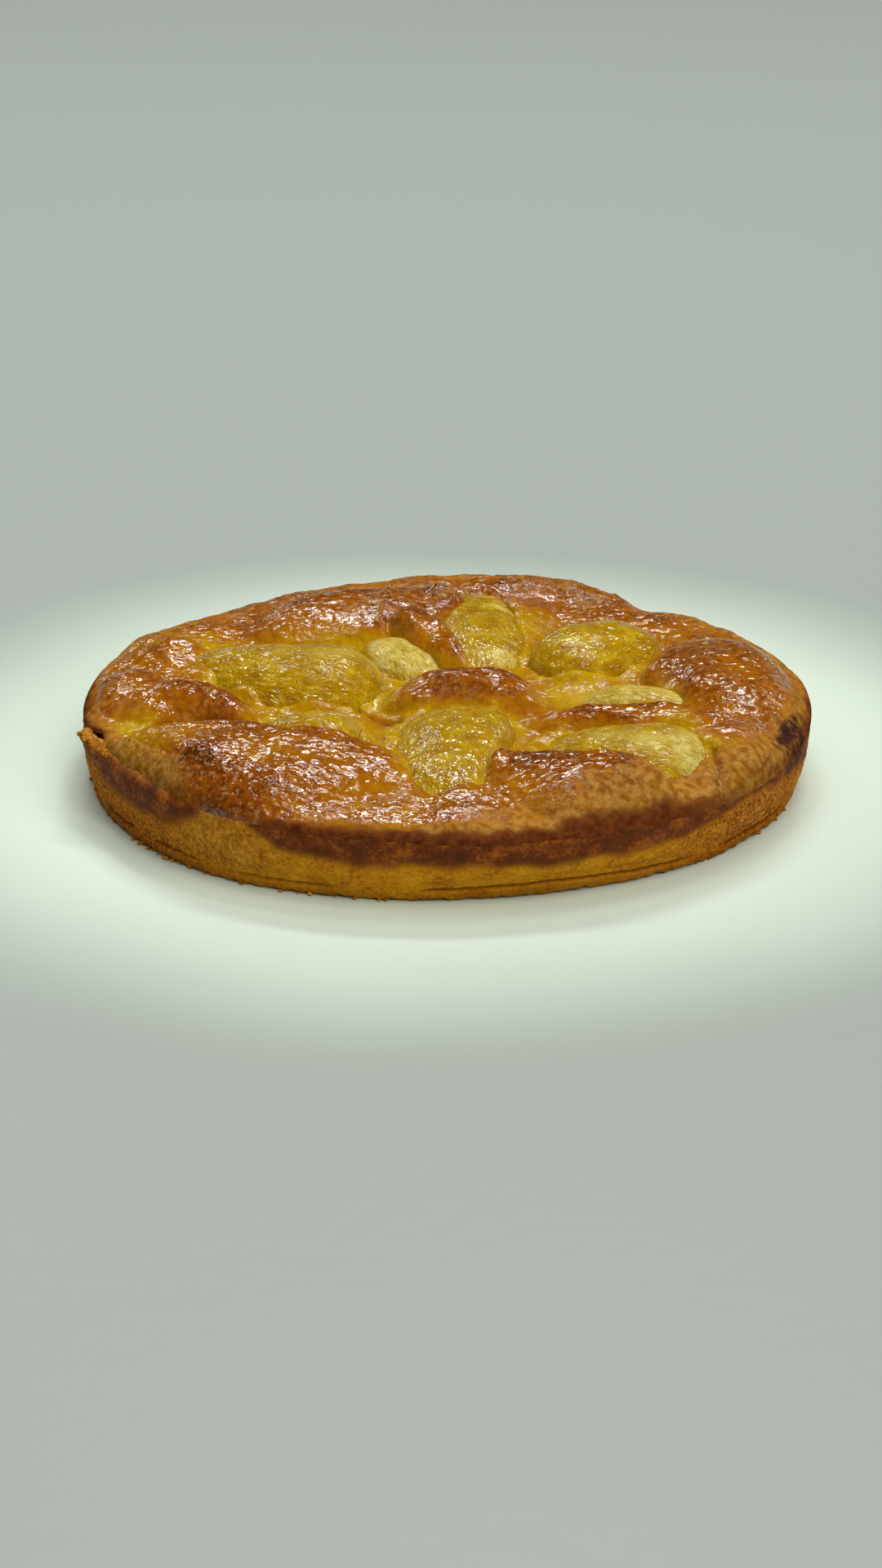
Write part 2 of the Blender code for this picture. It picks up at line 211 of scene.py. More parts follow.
def fan(loop, middle, turned=False):
    """Triangles that close a loop of point numbers at its middle point."""
    after = np.roll(loop, -1)
    pairs = (after, loop) if turned else (loop, after)
    return [(int(a), int(b), middle) for a, b in zip(*pairs)]


def rounding(away, size):
    """How far a rounded edge of a given size draws in, at a distance away from the edge."""
    return size * (1 - np.sqrt(1 - (1 - np.clip(away / size, 0, 1)) ** 2))


def make_piece(name, points, faces, material, **marks):
    """A mesh piece that rides with the tart, with a number at each point for every named mark."""
    mesh = bpy.data.meshes.new(name)
    mesh.from_pydata(points.tolist(), [], faces)
    mesh.shade_smooth()
    mesh.materials.append(material)
    for mark, values in marks.items():
        kind = "FLOAT" if values.ndim == 1 else "FLOAT_VECTOR"
        layer = mesh.attributes.new(mark, kind, "POINT")
        layer.data.foreach_set("value" if kind == "FLOAT" else "vector", values.ravel())
    piece = bpy.data.objects.new(name, mesh)
    bpy.context.scene.collection.objects.link(piece)
    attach(piece, "root")
    return piece


def swell(piece, amount):
    """Moves each point of a piece out along its normal, but never under the table."""
    mesh = piece.data
    place, normal = np.empty(len(amount) * 3), np.empty(len(amount) * 3)
    mesh.vertices.foreach_get("co", place)
    mesh.vertices.foreach_get("normal", normal)
    place = place.reshape(-1, 3) + normal.reshape(-1, 3) * amount[:, None]
    place[:, 2] = np.maximum(place[:, 2], 0)
    mesh.vertices.foreach_set("co", place.ravel())
    mesh.update()


class Socket:
    """An output of a shader node that takes Python's arithmetic: each operation adds a Math node."""

    def __init__(self, finish, link):
        self.finish, self.link = finish, link

    def math(self, operation, *others):
        return self.finish.node("Math", {"operation": operation}, dict(enumerate((self, *others))))

    def __add__(self, other):
        return self.math("ADD", other)

    def __mul__(self, other):
        return self.math("MULTIPLY", other)

    def __sub__(self, other):
        return self.math("SUBTRACT", other)

    def __rsub__(self, other):
        return self * -1 + other

    def __abs__(self):
        return self.math("ABSOLUTE")

    __radd__, __rmul__ = __add__, __mul__

    def rise(self, low, high):
        """0 up to low and 1 from high on, with a soft rise between."""
        soft = {"interpolation_type": "SMOOTHSTEP"}
        return self.finish.node("MapRange", soft, {0: self, 1: low, 2: high})


class Finish:
    """A procedural material. What stays the same all over is set on its shader by name."""

    def __init__(self, name, **shader):
        self.material = bpy.data.materials.new(name)
        self.material.use_nodes = True
        self.tree = self.material.node_tree
        self.shader = self.tree.nodes["Principled BSDF"]
        self.join(self.shader, {key.replace("_", " "): value for key, value in shader.items()})
        self.place = self.node("TexCoord", out="Object")

    def node(self, kind, settings=None, sockets=None, out=0):
        """Any node: its settings first, then its sockets' values or links, then the output asked for."""
        made = self.tree.nodes.new("ShaderNode" + kind)
        for key, value in (settings or {}).items():
            if key == "stops":
                for _ in value[2:]:
                    made.color_ramp.elements.new(0.5)
                for stop, (at, colour) in zip(made.color_ramp.elements, value):
                    stop.position, stop.color = at, colour
            else:
                setattr(made, key, value)
        self.join(made, sockets or {})
        return Socket(self, made.outputs[out])

    def join(self, made, sockets):
        for key, value in sockets.items():
            if isinstance(value, Socket):
                self.tree.links.new(value.link, made.inputs[key])
            else:
                made.inputs[key].default_value = value

    def mark(self, name, out="Fac"):
        return self.node("Attribute", {"attribute_name": name}, out=out)

    def grain(self, size, detail=2.0, place=None, twist=0.0):
        """Noise from 0 to 1 whose spots are about size metres across."""
        sockets = {"Vector": place or self.place, "Scale": 1 / size, "Detail": detail, "Distortion": twist}
        return self.node("TexNoise", None, sockets)

    def lines(self, size, width, detail=2.0, place=None, twist=0.0):
        """Thin winding lines that are 1 along their middle: there the grain passes through a half."""
        return 1 - abs(self.grain(size, detail, place, twist) - 0.5).rise(0, width)

    def drawn(self, place, squeeze):
        """A place squeezed along its first axis, so that grain at it is drawn out that way."""
        return self.node("VectorMath", {"operation": "MULTIPLY"}, {0: place, 1: (squeeze, 1.0, 1.0)})

    def mix(self, share, first, second):
        return self.node("Mix", {"data_type": "RGBA"}, {0: share, 6: first, 7: second}, out=2)

    def shades(self, share, stops):
        return self.node("ValToRGB", {"stops": stops}, {0: share})

    def relief(self, height, depth):
        """Bumps that are depth metres high where height goes from 0 to 1."""
        return self.node("Bump", None, {"Height": height, "Distance": depth})

    def cover(self, colour, roughness, normal):
        self.join(self.shader, {"Base Color": colour, "Roughness": roughness, "Normal": normal})

    def glaze(self, share, colour, normal):
        """Lays the glossy shader over a dull one of the same colour, as far as share goes from 0 to 1."""
        dull = {"Base Color": colour, "Roughness": 0.9, "Specular IOR Level": 0.0, "Normal": normal}
        dull = self.node("BsdfPrincipled", None, dull)
        mixed = self.node("MixShader", None, {0: share, 1: dull, 2: Socket(self, self.shader.outputs[0])})
        self.tree.links.new(mixed.link, self.tree.nodes["Material Output"].inputs["Surface"])


def screen(red, green, blue):
    """A colour as a screen shows it, from 0 to 255, in the shader's own linear numbers."""
    return tuple(((c / 255 + 0.055) / 1.055) ** 2.4 for c in (red, green, blue)) + (1.0,)


def make_crust():
    """Golden crust, sandy where it crumbles, brown along the top, pale where torn, scorched, and with
    painted shade in its fold.
    """
    crust = Finish("baked_shortcrust", Specular_IOR_Level=0.15)
    band, burn, crumb, fold = (crust.mark(name) for name in ("band", "burn", "crumb", "fold"))
    bare, foot = crust.mark("bare"), crust.mark("foot")
    mottle, sand, fine = crust.grain(0.006, 3), crust.grain(0.0012, 3), crust.grain(0.0005)
    mottled = mottle * 0.6 + sand * 0.4
    golden = [(0.30, screen(144, 84, 0)), (0.44, screen(194, 128, 8))]
    golden += [(0.56, screen(214, 150, 14)), (0.72, screen(222, 168, 36))]
    sandy = [(0.36, screen(92, 40, 2)), (0.46, screen(160, 82, 6))]
    sandy += [(0.56, screen(200, 118, 14)), (0.66, screen(230, 156, 44))]
    brown = [(0.34, screen(70, 28, 4)), (0.5, screen(106, 47, 8)), (0.66, screen(156, 84, 20))]
    pale = [(0.36, screen(92, 50, 16)), (0.5, screen(152, 98, 36)), (0.62, screen(190, 140, 66))]
    sandy = crust.shades(sand * 0.7 + fine * 0.3, sandy)
    colour = crust.mix(crumb * 0.9, crust.shades(mottled, golden), sandy)
    browned = (band + (mottle - 0.5) * 0.5 + (sand - 0.5) * 0.4).rise(0, 1)
    colour = crust.mix(browned, colour, crust.shades(mottled, brown))
    colour = crust.mix(bare * 0.85, colour, crust.shades(sand * 0.6 + mottle * 0.4, pale))
    # Painted shade: the fold's groove is painted dark brown.
    colour = crust.mix(fold.rise(0.2, 0.9) * 0.8, colour, screen(84, 38, 4))
    colour = crust.mix(foot * 0.45, colour, screen(140, 74, 4))
    colour = crust.mix((burn + (sand - 0.5) * 0.5).rise(0.35, 0.9) * 0.8, colour, screen(44, 22, 22))
    normal = crust.relief((sand * 0.6 + fine * 0.4) * (crumb + 0.5), 0.0012)
    crust.cover(colour, 0.86 - band * 0.2 + (fine - 0.5) * 0.2, normal)
    return crust.material


def case_rings(angle):
    """Rings of the case from its top edge down and under, then over its top and down inside."""
    line = ring(angle, RIM_RADIUS, 0)
    torn = around_bump(angle, TORN)
    top = case_top(angle) + torn * layers(line, TORN_EDGE) + layers(line, TOP_EDGE)
    open_top = np.clip(around_bump(angle, OPEN_TOP), 0, 1)
    outside = []
    for height in np.linspace(1, 0, WALL_ROWS)[:, None] * top:
        tuck = rounding(top - height, CASE_EDGE) * open_top + rounding(height, FOOT_EDGE)
        outside.append(ring(angle, case_radius(angle, height) - tuck, height))
    outside.append(ring(angle, base_radius(angle) / 2, 0))
    outer = case_radius(angle, top) - CASE_EDGE * open_top
    over = []
    for share in np.linspace(0, 1, RIM_ROWS + 1)[1:]:
        raised = TOP_CROWN * open_top * np.sin(share * 2.2)
        over.append(ring(angle, outer - share * 1.1 * CASE_THICKNESS, top + raised))
    return outside, over + case_hollow(angle)


def make_case(crust):
    angle = np.linspace(-np.pi, np.pi, WALL_COLUMNS, endpoint=False)
    outer, inner = case_rings(angle)
    under = len(outer)
    loops = np.arange(len(outer + inner) * WALL_COLUMNS).reshape(-1, WALL_COLUMNS)
    points = np.concatenate(outer + inner + [[(0, 0, 0), (0, 0, CASE_FLOOR)]])
    faces = joined(loops[:under]) + joined([*loops[under:][::-1], loops[0]])
    faces += fan(loops[under - 1][::-1], loops.size) + fan(loops[-1], loops.size + 1)

    around, height = np.arctan2(points[:, 1], points[:, 0]), points[:, 2]
    edge = case_top(around)
    line = ring(around, RIM_RADIUS, 0)
    outside = np.arange(len(points)) < WALL_ROWS * WALL_COLUMNS
    on_top = ~outside & (height > edge - 0.001)  # the rings of the wall's top and their lumps

    depth = BAND_DEPTH + bumps(around, BAND_CHANGES)
    depth += layers(line, BAND_LINE) + layers(points, BAND_SPOTS)
    bare = around_bump(around, BARE_CRUMB) * smooth(0.5 - around_bump(around, BAKED_AGAIN))
    band = smooth(0.5 + (height - edge + depth) / (2 * BAND_FADE))
    band = np.where(on_top, np.clip(0.75 - bare, 0, 1), band)
    burn = bumps(around, BURNS) * smooth(0.5 + (height - edge + BURN_DEPTH) / BURN_FADE)
    crumbly = np.clip(0.25 + bumps(around, CRUMBLY), 0, 1)
    crumb = np.where(on_top, bare, crumbly * smooth((edge - depth - height) / CRUMB_FADE + 0.6))

    fold_line = CASE_FOLD + wave(around, *FOLD_WAVES)
    folded = smooth(lumps(line, *FOLD_LUMPS) * 2 + 0.75)
    # The fold's groove, cut into the wall below and painted dark in the crust as shade.
    fold = folded * np.exp(-(((height - fold_line) / FOLD_HALF) ** 2)) * outside
    foot = outside * smooth((fold_line - height) / FOOT_FADE) * smooth(folded + 0.4)

    low_on_lip = smooth(1 - (edge - height) / PALE_LIP_DEPTH)
    pale_lip = np.clip(1.6 * bare, 0, 1) * np.where(on_top, 1, low_on_lip)
    pale_top = on_top * around_bump(around, PALE_TOP)
    pale_wall = bumps(around, PALE_WALL) * ramp(height, PALE_WALL_START, PALE_WALL_FADE)
    pale = np.max([pale_lip, pale_top, pale_wall * outside * (1 - band)], axis=0)
    marks = {"band": band, "burn": burn, "crumb": crumb, "fold": fold, "bare": pale, "foot": foot}
    piece = make_piece("shortcrust_case", points, faces, crust, **marks)

    near_top = smooth(height / edge * 4 - 2.6)
    begins, ends = FOLD_FACE_FADES
    over_fold = ramp(height, fold_line, begins) * smooth((fold_line + FOLD_FACE - height) / ends)
    at_foot = np.clip(1 - height / FOOT_TORN, 0, 1)
    proud = layers(points, WALL_LUMPS) + crumbly * layers(points, SANDY_LUMPS)
    proud += bare * on_top * (BARE_SWELL + layers(points, BARE_LUMPS))
    proud += around_bump(around, TORN) * near_top * layers(points, TORN_LUMPS)
    proud -= FOLD_DEPTH * fold + FOLD_FACE_DEPTH * folded * over_fold
    proud += at_foot * FOOT_RAGGED * lumps(points * (1, 1, 0.3), *FOOT_LUMPS)
    swell(piece, proud * (outside | on_top))
    return piece


crust = make_crust()
case = make_case(crust)
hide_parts("pastry_case")

# ================================================================ sponge filling
# An egg-rich sponge that fills the case. It puffed up between the pears while it baked, browned on
# its ridges, stayed yellow where the pears shaded it, and was brushed with a clear glaze while hot.

SHOULDER = 0.0150  # how far in from the edge the sponge's rounded shoulder reaches
FLOOR_LEVEL = 0.0262  # level of the sponge between the pears
CROWN_HEIGHT = 0.0285  # its level near the rim
CROWN_START = 0.0700  # where it begins to rise from one to the other
CROWN_RUN = 0.0300
MOUND_FOOT = 0.0235  # level that a mound's sides fall to
MOUND_SQUARE = 2.3  # 2 is an ellipse in plan, more is squarer
MOUND_DOME = (2.4, 0.55)  # powers that make a mound's dome full, with steep sides
STRAY = (0.0035, 0.0025)  # how far the mounds' outlines stray to the side and in depth
STRAY_SIZE = 0.0170
STRAY_SEEDS = (31, 32)
POCKET_EDGE = 0.0080  # width of the rolled edge of sponge beside a pear
BLEND = 0.0012  # softness of the valley where two mounds meet
EDGE_OUT = 0.0001  # how far outside the wall's outer face the sponge's edge lies
GAP = 0.0003  # air between pieces that touch
EDGE_FACE = 0.0006  # height of the sponge's outer edge
EDGE_HANG = 0.0005  # how far that edge hangs down over the wall's rounded top
HANG_LUMPS = (0.0040, 7)
CLIMB = 0.0024  # how far the batter has crept up the pears
CLIMB_CHANGE = 0.0042  # how much that varies
CLIMB_LUMPS = (0.0130, 21)  # size and seed of the lumps by which it does
CLIMB_START = 0.0010  # how far inside a pear's outline it begins
CLIMB_WIDTH = 0.0034
COVER = 0.0005  # how far the sponge goes on under a pear's surface before it drops to the seat
TOP_CELLS = 300

# Relief of the top: height, size, seed.
BROAD = (0.0012, 0.0160, 1)
SMALL = (0.0005, 0.0058, 2)
FOLDS = (0.00025, 0.0042, 3)
PORES = (0.00022, 0.0021, 4)
EDGE_CALM = 0.0035  # width of the strip along the edge where the relief dies down

# Where the browning changes: the start of a change and its run.
RIDGE_LEVELS = (0.0300, 0.0080)  # height from which the ridges are browner
SHADE_LEVELS = (0.0325, 0.0040)  # height from which no pear shades the sponge
SHADE_RADII = (0.0760, 0.0120)  # radius from which none does
SHADE_REACH = 0.0070  # how far from a pear its shade fades
BACK_DEPTHS = (0.0400, 0.0400)  # how far back the sponge is browner

# The strip along the edge that is as brown as the case's top: its width, and where it is paler.
BROWN_STRIP = 0.0045
PALE_STRIP = [(-125.0, 6.5, 1.0), (-146.0, 14.0, 0.9), (-34.0, 13.0, 0.6)]

# Strips along the rim: angle and half width in degrees, strength, radius where it starts, its run.
BROWNER = [(-128.0, 12.0, 0.28, 0.1000, 0.0100)]
BURNT = [(-20.0, 7.5, 0.8, 0.1125, 0.0040)]
DRIER = [
    (-56.0, 36.0, 0.85, 0.0980, 0.0120),
    (95.0, 60.0, 0.30, 0.0900, 0.0200),
    (-149.0, 13.0, 1.0, 0.1115, 0.0030),
]
DRY_EDGE = (0.1120, 0.0040)  # radii over which the glaze thins out
WET_EDGE = (-125.0, 16.0, 1.0)  # where it doesn't
DRY_BACK = (0.0200, 0.0500)  # how far back it is thinner
DRY_LUMPS = (0.0120, 6)

# Each mound of puffed sponge: a place on its ridge, half length, width before and behind the ridge,
# turn of the ridge in degrees, height of its top.
MOUNDS = {
    "front_left": ((-0.0585, -0.0610), 0.0540, 0.0440, 0.0110, -12, 0.0393),
    "front_right": ((0.0460, -0.0830), 0.0340, 0.0310, 0.0085, -20, 0.0385),
    "left": ((-0.0990, -0.0100), 0.0260, 0.0190, 0.0150, -50, 0.0360),
    "left_tip": ((-0.0820, -0.0190), 0.0260, 0.0120, 0.0085, -33, 0.0375),
    "left_rim": ((-0.0950, 0.0300), 0.0400, 0.0150, 0.0150, 112, 0.0320),
    "middle": ((0.0065, -0.0100), 0.0290, 0.0170, 0.0075, 8, 0.0395),
    "ridge": ((0.0660, -0.0360), 0.0440, 0.0120, 0.0070, -5, 0.0370),
    "right": ((0.0930, 0.0000), 0.0450, 0.0250, 0.0250, 102, 0.0395),
    "right_front": ((0.0960, -0.0560), 0.0300, 0.0180, 0.0180, -60, 0.0345),
    "back_left": ((-0.0300, 0.0640), 0.0430, 0.0230, 0.0220, 20, 0.0395),
    "back_inner": ((-0.0080, 0.0420), 0.0330, 0.0090, 0.0100, -66, 0.0390),
    "back_rim": ((0.0300, 0.1000), 0.0600, 0.0150, 0.0150, -8, 0.0325),
    "back_gap": ((0.0300, 0.0720), 0.0340, 0.0110, 0.0110, 85, 0.0305),
}

# Places on the top that are paler or darker: x, y, radius, strength.
PALE = [
    (-0.042, 0.032, 0.011, 1.0), (-0.087, -0.064, 0.012, 0.35), (-0.101, -0.036, 0.008, 0.9),
    (0.076, -0.048, 0.009, 1.0), (0.082, -0.064, 0.009, 1.0), (0.042, -0.003, 0.013, 0.9),
    (-0.022, -0.015, 0.009, 1.0), (-0.082, 0.039, 0.012, 0.8), (0.029, 0.056, 0.014, 0.6),
    (0.021, -0.036, 0.005, 1.0), (-0.095, -0.052, 0.010, 0.5), (-0.020, 0.030, 0.010, 0.6),
    (0.075, 0.030, 0.012, 0.4),
]
DARK = [
    (-0.065, -0.036, 0.009, 0.9), (-0.084, -0.016, 0.011, 0.6), (0.028, -0.081, 0.008, 0.8),
    (0.041, -0.081, 0.008, 0.9), (0.054, -0.084, 0.008, 0.7), (0.050, -0.031, 0.008, 0.8),
    (0.065, -0.035, 0.008, 0.9), (0.083, -0.040, 0.008, 0.9), (0.110, -0.041, 0.010, 1.0),
    (-0.050, -0.053, 0.009, 0.7), (-0.025, -0.064, 0.008, 0.7), (0.015, -0.006, 0.010, 0.8),
    (0.027, -0.001, 0.008, 0.7), (-0.007, 0.052, 0.010, 0.8), (0.086, 0.018, 0.012, 0.7),
    (0.028, 0.104, 0.020, 0.5), (-0.060, 0.080, 0.015, 0.4), (-0.022, 0.047, 0.006, 0.8),
]

# Narrow crevices of the top: from one place to another, half width, depth. The sponge is also painted
# darker along them, as painted shade.
CREVICES = [
    ((-0.1000, -0.0380), (-0.0900, -0.0320), 0.0012, 0.0040),
    ((-0.0900, -0.0320), (-0.0640, -0.0365), 0.0012, 0.0030),
    ((0.0845, -0.0655), (0.0868, -0.0790), 0.0013, 0.0030),
    ((-0.0290, -0.0180), (-0.0150, -0.0320), 0.0013, 0.0030),
]

# Each pear half: its bulb end and its stem end in plan, half width of bulb and of stem, height of the
# crest over the table at the bulb and at the stem, and height of the cut face that it lies on.
PEARS = {
    "pear_half_front": ((0.0042, -0.0170), (-0.0025, -0.1060), 0.0228, 0.0165, 0.0385, 0.0325, 0.0170),
    "pear_half_front_right": ((0.0865, -0.0695), (0.0265, -0.0510), 0.0218, 0.0125, 0.0387, 0.0335, 0.0165),
    "pear_half_right": ((0.0430, -0.0110), (0.0960, -0.0210), 0.0110, 0.0075, 0.0355, 0.0315, 0.0200),
    "pear_half_back_right": ((0.0320, 0.0120), (0.0740, 0.0490), 0.0190, 0.0150, 0.0400, 0.0370, 0.0180),
    "pear_half_back": ((0.0140, 0.0090), (0.0100, 0.0950), 0.0165, 0.0160, 0.0365, 0.0365, 0.0190),
    "pear_half_back_left": ((-0.0064, 0.0030), (-0.0250, 0.0472), 0.0125, 0.0112, 0.0355, 0.0340, 0.0200),
    "pear_half_left": ((-0.0200, -0.0105), (-0.0970, 0.0260), 0.0235, 0.0120, 0.0425, 0.0325, 0.0180),
    "pear_half_front_left": ((-0.0232, -0.0450), (-0.067, -0.037), 0.0145, 0.012, 0.0365, 0.033, 0.018),
}
PEAR_NECK = 0.75  # where a pear's half width has fallen to that of its stem end, from -1 to 1 along it
PEAR_SHOULDER = -0.50  # where it begins to fall
PEAR_BULGE = 0.8  # under 1, the flanks are fuller than a half round
PEAR_OUTLINE = (2.6, 0.45)  # powers that make its ends blunt, in plan
PEAR_PROFILE = 3.2  # and from the side

# How far each pear's crest lies to its left of the middle, as a share of its half width.
LEANS = {
    "pear_half_front": 0.30,
    "pear_half_front_right": -0.20,
    "pear_half_back_right": 0.25,
    "pear_half_left": -0.25,
}


def sponge_edge(angle):
    """Radius of the sponge's outer edge, on the case's wall or, behind the lip, inside it."""
    return rim_radius(angle) + EDGE_OUT - around_bump(angle, LIP_GAP) - around_bump(angle, BARE_RIM)


def pear_half_width(along, pear):
    """Half width of a pear half at a place along it, from -1 at its bulb end to 1 at its stem end."""
    bulb, stem = pear[2:4]
    swelling = smooth((PEAR_NECK - along) / (PEAR_NECK - PEAR_SHOULDER))
    ends = np.clip(1 - np.abs(along) ** PEAR_OUTLINE[0], 0, 1) ** PEAR_OUTLINE[1]
    return (stem + (bulb - stem) * swelling) * ends


def to_pear(x, y, pear):
    """Places in a pear's own plan: -1 to 1 along it towards the stem, and metres to its left."""
    (bx, by), (sx, sy) = pear[:2]
    half_x, half_y = (sx - bx) / 2, (sy - by) / 2
    half_length = np.hypot(half_x, half_y)
    dx, dy = x - (bx + sx) / 2, y - (by + sy) / 2
    along = (dx * half_x + dy * half_y) / half_length**2
    return along, (dy * half_x - dx * half_y) / half_length, half_length


def pear_distance(x, y, pear):
    """Distance in plan outside a pear's outline, negative inside it."""
    along, across, half_length = to_pear(x, y, pear)
    steps = -np.cos(np.linspace(0, np.pi, 25))
    half = pear_half_width(steps, pear)
    nearest = np.full(np.shape(along), np.inf)
    for n in range(len(steps) - 1):
        ax, ay, bx, by = steps[n] * half_length, half[n], steps[n + 1] * half_length, half[n + 1]
        ex, ey = bx - ax, by - ay
        px, py = along * half_length - ax, np.abs(across) - ay
        t = np.clip((px * ex + py * ey) / (ex * ex + ey * ey), 0, 1)
        nearest = np.minimum(nearest, np.hypot(px - t * ex, py - t * ey))
    inside = (np.abs(along) < 1) & (np.abs(across) < np.interp(along, steps, half))
    return np.where(inside, -nearest, nearest)


def pear_rise(along, pear):
    """Height of a pear half's crest over its cut face."""
    bulb_crest, stem_crest, cut = pear[4:]
    crest = bulb_crest + (stem_crest - bulb_crest) * (along - PEAR_SHOULDER) / (1 - PEAR_SHOULDER)
    return (crest - cut) * np.sqrt(np.clip(1 - np.abs(along) ** PEAR_PROFILE, 0, 1))


def pear_top(x, y, pear, lean):
    """Height of a pear half's surface over the table, and nothing outside its outline."""
    along, across, _ = to_pear(x, y, pear)
    half = pear_half_width(along, pear)
    out = np.clip(across / np.maximum(half, 1e-6), -1, 1)
    if lean:
        out = (1 - np.sqrt(1 - 4 * lean * (out - lean))) / (2 * lean)
    out = np.clip(np.abs(out), 0, 1) ** (2 / PEAR_BULGE)
    top = pear[6] + pear_rise(along, pear) * (1 - out) ** (PEAR_BULGE / 2)
    return np.where((np.abs(along) < 1) & (np.abs(across) < half), top, 0)


def smooth_max(a, b):
    return (a + b + np.sqrt((a - b) ** 2 + BLEND**2)) / 2


def mound_height(x, y, mound):
    """Height of one mound: a dome that falls off gently before its ridge and steeply behind it."""
    (cx, cy), half_length, before, behind, turn, top = mound
    turn = np.radians(turn)
    u = np.abs((x - cx) * np.cos(turn) + (y - cy) * np.sin(turn)) / half_length
    v = (y - cy) * np.cos(turn) - (x - cx) * np.sin(turn)
    v = np.where(v > 0, v / behind, -v / before)
    out = (u**MOUND_SQUARE + v**MOUND_SQUARE) ** (1 / MOUND_SQUARE)
    return MOUND_FOOT + (top - MOUND_FOOT) * np.clip(1 - out ** MOUND_DOME[0], 0, 1) ** MOUND_DOME[1]


def sponge_height(x, y, rolled):
    """Height of the sponge's top over the table, at a place inside its edge."""
    angle, radius = np.arctan2(y, x), np.hypot(x, y)
    rise = ramp(radius, CROWN_START, CROWN_RUN)
    height = FLOOR_LEVEL + (CROWN_HEIGHT - FLOOR_LEVEL) * rise * rolled
    flat = np.stack([x, y, 0 * x], axis=1)
    aside, behind = (stray * lumps(flat, STRAY_SIZE, seed) for stray, seed in zip(STRAY, STRAY_SEEDS))
    for mound in MOUNDS.values():
        height = smooth_max(height, mound_height(x + aside, y + behind, mound))
    inset = np.clip((sponge_edge(angle) - radius) / SHOULDER, 0, 1)
    edge = case_top(angle) + GAP + EDGE_FACE
    return edge + (height - edge) * np.sqrt(1 - (1 - inset) ** 2)


def patches(x, y, places):
    """From 0 to 1, how strongly any of the given places covers a point."""
    uncovered = 1
    for px, py, radius, strength in places:
        uncovered = uncovered * (1 - strength * np.exp(-((x - px) ** 2 + (y - py) ** 2) / radius**2))
    return 1 - uncovered


def strips(angle, radius, places):
    """Sum of strips along the rim, each given as a bump round the tart, its start and its run."""
    return sum(around_bump(angle, place[:3]) * ramp(radius, *place[3:]) for place in places)


def crevice(x, y, start, end, half_width):
    """From 0 to 1, how deep a point lies in a crevice that fades off to both sides and past its ends."""
    (ax, ay), (bx, by) = start, end
    ex, ey = bx - ax, by - ay
    t = ((x - ax) * ex + (y - ay) * ey) / (ex * ex + ey * ey)
    away = np.hypot(x - ax - np.clip(t, 0, 1) * ex, y - ay - np.clip(t, 0, 1) * ey)
    return np.exp(-((away / half_width) ** 2))


def disc_grid(cells):
    """A square grid bent onto the unit disc: its points, its quads and the points on its edge in order."""
    line = np.linspace(-1, 1, cells + 1)
    a, b = np.meshgrid(line, line, indexing="ij")
    lead = np.maximum(np.abs(a), np.abs(b))
    disc = np.stack([a, b], axis=-1) * (lead / np.maximum(np.hypot(a, b), 1e-9))[..., None]
    index = np.arange((cells + 1) ** 2).reshape(cells + 1, cells + 1)
    quads = np.stack([index[:-1, :-1], index[1:, :-1], index[1:, 1:], index[:-1, 1:]], axis=-1)
    edge = np.concatenate([index[:-1, 0], index[-1, :-1], index[:0:-1, -1], index[0, :0:-1]])
    return disc.reshape(-1, 2), quads.reshape(-1, 4).tolist(), edge


def make_glazed_sponge():
    """Yellow to brown sponge under a glaze, which gives way to dull tan crumb where it is dry."""
    sponge = Finish("glazed_sponge", IOR=1.5, Coat_Weight=0.15, Coat_Roughness=0.05)
    browned, wet, low, rim = (sponge.mark(name) for name in ("browned", "wet", "low", "rim"))
    burnt = sponge.mark("burnt")
    mottle, spots, fine = sponge.grain(0.009, 3, twist=0.4), sponge.grain(0.0026, 3), sponge.grain(0.0009)
    stops = [(0.0, screen(176, 138, 4)), (0.22, screen(161, 112, 0)), (0.45, screen(154, 90, 0))]
    stops += [(0.66, screen(126, 61, 0)), (0.84, screen(92, 39, 0)), (1.0, screen(58, 26, 8))]
    colour = sponge.shades(browned + (mottle - 0.5) * 0.5 + (spots - 0.5) * 0.6, stops)
    tan = sponge.mix(spots.rise(0.35, 0.65), screen(172, 126, 60), screen(130, 82, 24))
    colour = sponge.mix((1 - wet + (spots - low) * 0.25).rise(0.2, 0.9) * 0.7, colour, tan)
    dry = sponge.grain(0.0016, 2, twist=1.0)
    drier = (dry + (mottle - 0.5) * 0.5).rise(0.5, 0.7) * (browned - 0.1) * 0.65
    colour = sponge.mix(drier, colour, screen(184, 146, 92))
    brown = sponge.mix(spots.rise(0.3, 0.7), screen(82, 38, 18), screen(116, 60, 26))
    colour = sponge.mix((rim + (spots - 0.5) * 0.3 + (mottle - 0.5) * 0.3).rise(0.05, 0.95), colour, brown)
    charred = (burnt + (spots - 0.5) * 0.9 + (mottle - 0.5) * 0.9).rise(0.3, 0.9)
    colour = sponge.mix(charred, colour, screen(58, 32, 28))
    gloss = (wet - rim + (spots - 0.5) * 0.6).rise(0.3, 0.7)
    drawn = sponge.drawn(sponge.place, 0.75)
    height = sponge.grain(0.0025, 0, drawn, 0.6) * 0.8 + sponge.grain(0.0012, 0, drawn, 0.6) * 0.2
    yellow = (0.5 - browned).rise(0, 0.4)
    height = height * (1 - yellow * 0.15) + yellow * fine * 0.3 + (1 - gloss) * (spots + fine) * 0.6
    normal = sponge.relief(height, 0.0007)
    sponge.cover(colour, 0.07, normal)
    sponge.glaze(gloss * (1 - yellow * (0.55 - fine).rise(0, 0.08) * 0.85), colour, normal)
    return sponge.material


